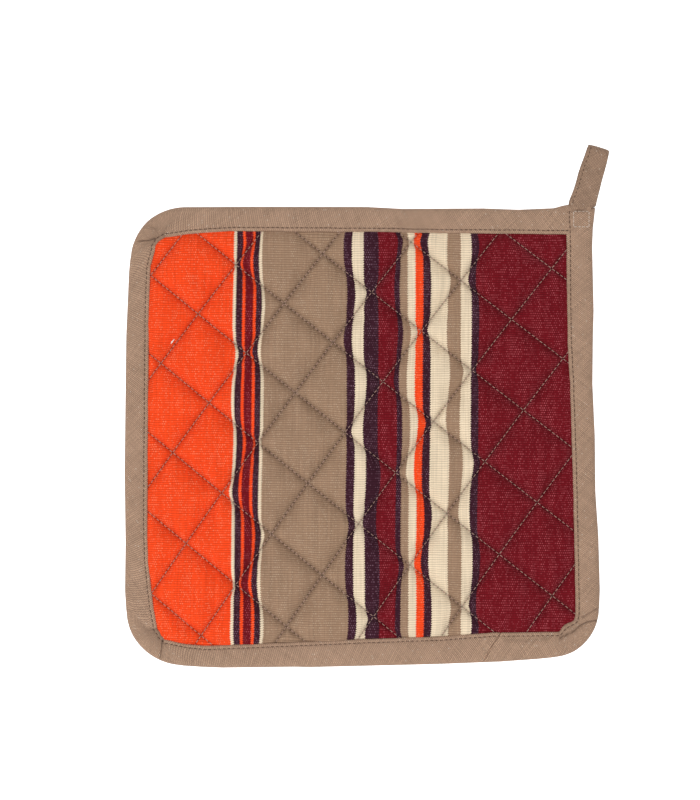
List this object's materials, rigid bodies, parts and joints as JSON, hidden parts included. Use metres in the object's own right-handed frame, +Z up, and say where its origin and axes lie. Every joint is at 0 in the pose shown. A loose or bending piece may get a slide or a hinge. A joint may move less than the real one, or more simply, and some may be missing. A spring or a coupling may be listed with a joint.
{
  "type": "quilted pot holder",
  "caption": "Square quilted cotton pot holder with striped face, bias-bound edge and a corner hanging loop that flexes.",
  "frame": {"origin": "middle of the pad, on the flat surface that its back rests on", "axes": "+Z up out of the striped face, +Y towards the top edge and the hanging loop, +X to the right, towards the corner that carries the loop"},
  "size_m": [0.2063, 0.222, 0.0078],
  "materials": {
    "front_stripes": "ribbed plain-weave cotton, woven stripes in orange, cream, aubergine, maroon and taupe",
    "back_stripes": "the same ribbed striped cotton",
    "cotton_wadding": "soft matt needled wadding",
    "binding_tape": "fine taupe bias twill tape",
    "quilting_thread": "greyish beige polyester sewing thread, soft sheen",
    "edge_thread": "dark taupe sewing thread, soft sheen",
    "pale_thread": "pale beige sewing thread, soft sheen"
  },
  "bodies": {
    "pad": {"front_cover": "front_stripes", "wadding": "cotton_wadding", "back_cover": "back_stripes", "binding_long": "binding_tape", "binding_short": "binding_tape", "loop_tail": "binding_tape", "topstitch_front": "edge_thread", "topstitch_back": "edge_thread", "box_stitch_front": "pale_thread", "box_stitch_back": "pale_thread", "needle_thread_fall_1": "quilting_thread", "needle_thread_fall_2": "quilting_thread", "needle_thread_fall_3": "quilting_thread", "needle_thread_fall_4": "quilting_thread", "needle_thread_fall_5": "quilting_thread", "needle_thread_fall_6": "quilting_thread", "needle_thread_fall_7": "quilting_thread", "needle_thread_fall_8": "quilting_thread", "needle_thread_fall_9": "quilting_thread", "needle_thread_rise_1": "quilting_thread", "needle_thread_rise_2": "quilting_thread", "needle_thread_rise_3": "quilting_thread", "needle_thread_rise_4": "quilting_thread", "needle_thread_rise_5": "quilting_thread", "needle_thread_rise_6": "quilting_thread", "needle_thread_rise_7": "quilting_thread", "needle_thread_rise_8": "quilting_thread", "needle_thread_rise_9": "quilting_thread", "bobbin_thread_fall_1": "quilting_thread", "bobbin_thread_fall_2": "quilting_thread", "bobbin_thread_fall_3": "quilting_thread", "bobbin_thread_fall_4": "quilting_thread", "bobbin_thread_fall_5": "quilting_thread", "bobbin_thread_fall_6": "quilting_thread", "bobbin_thread_fall_7": "quilting_thread", "bobbin_thread_fall_8": "quilting_thread", "bobbin_thread_fall_9": "quilting_thread", "bobbin_thread_rise_1": "quilting_thread", "bobbin_thread_rise_2": "quilting_thread", "bobbin_thread_rise_3": "quilting_thread", "bobbin_thread_rise_4": "quilting_thread", "bobbin_thread_rise_5": "quilting_thread", "bobbin_thread_rise_6": "quilting_thread", "bobbin_thread_rise_7": "quilting_thread", "bobbin_thread_rise_8": "quilting_thread", "bobbin_thread_rise_9": "quilting_thread"},
    "loop": {"hanging_loop": "binding_tape", "loop_edge_stitch": "edge_thread"}
  },
  "joints": [
    {"name": "loop_flex", "type": "hinge", "parent": "pad", "child": "loop", "pos_m": [0.0935, 0.0994, 0.0039], "axis": [1, 0, 0], "range_deg": [-100, 100], "stiffness_Nm_per_rad": 0.001}
  ]
}
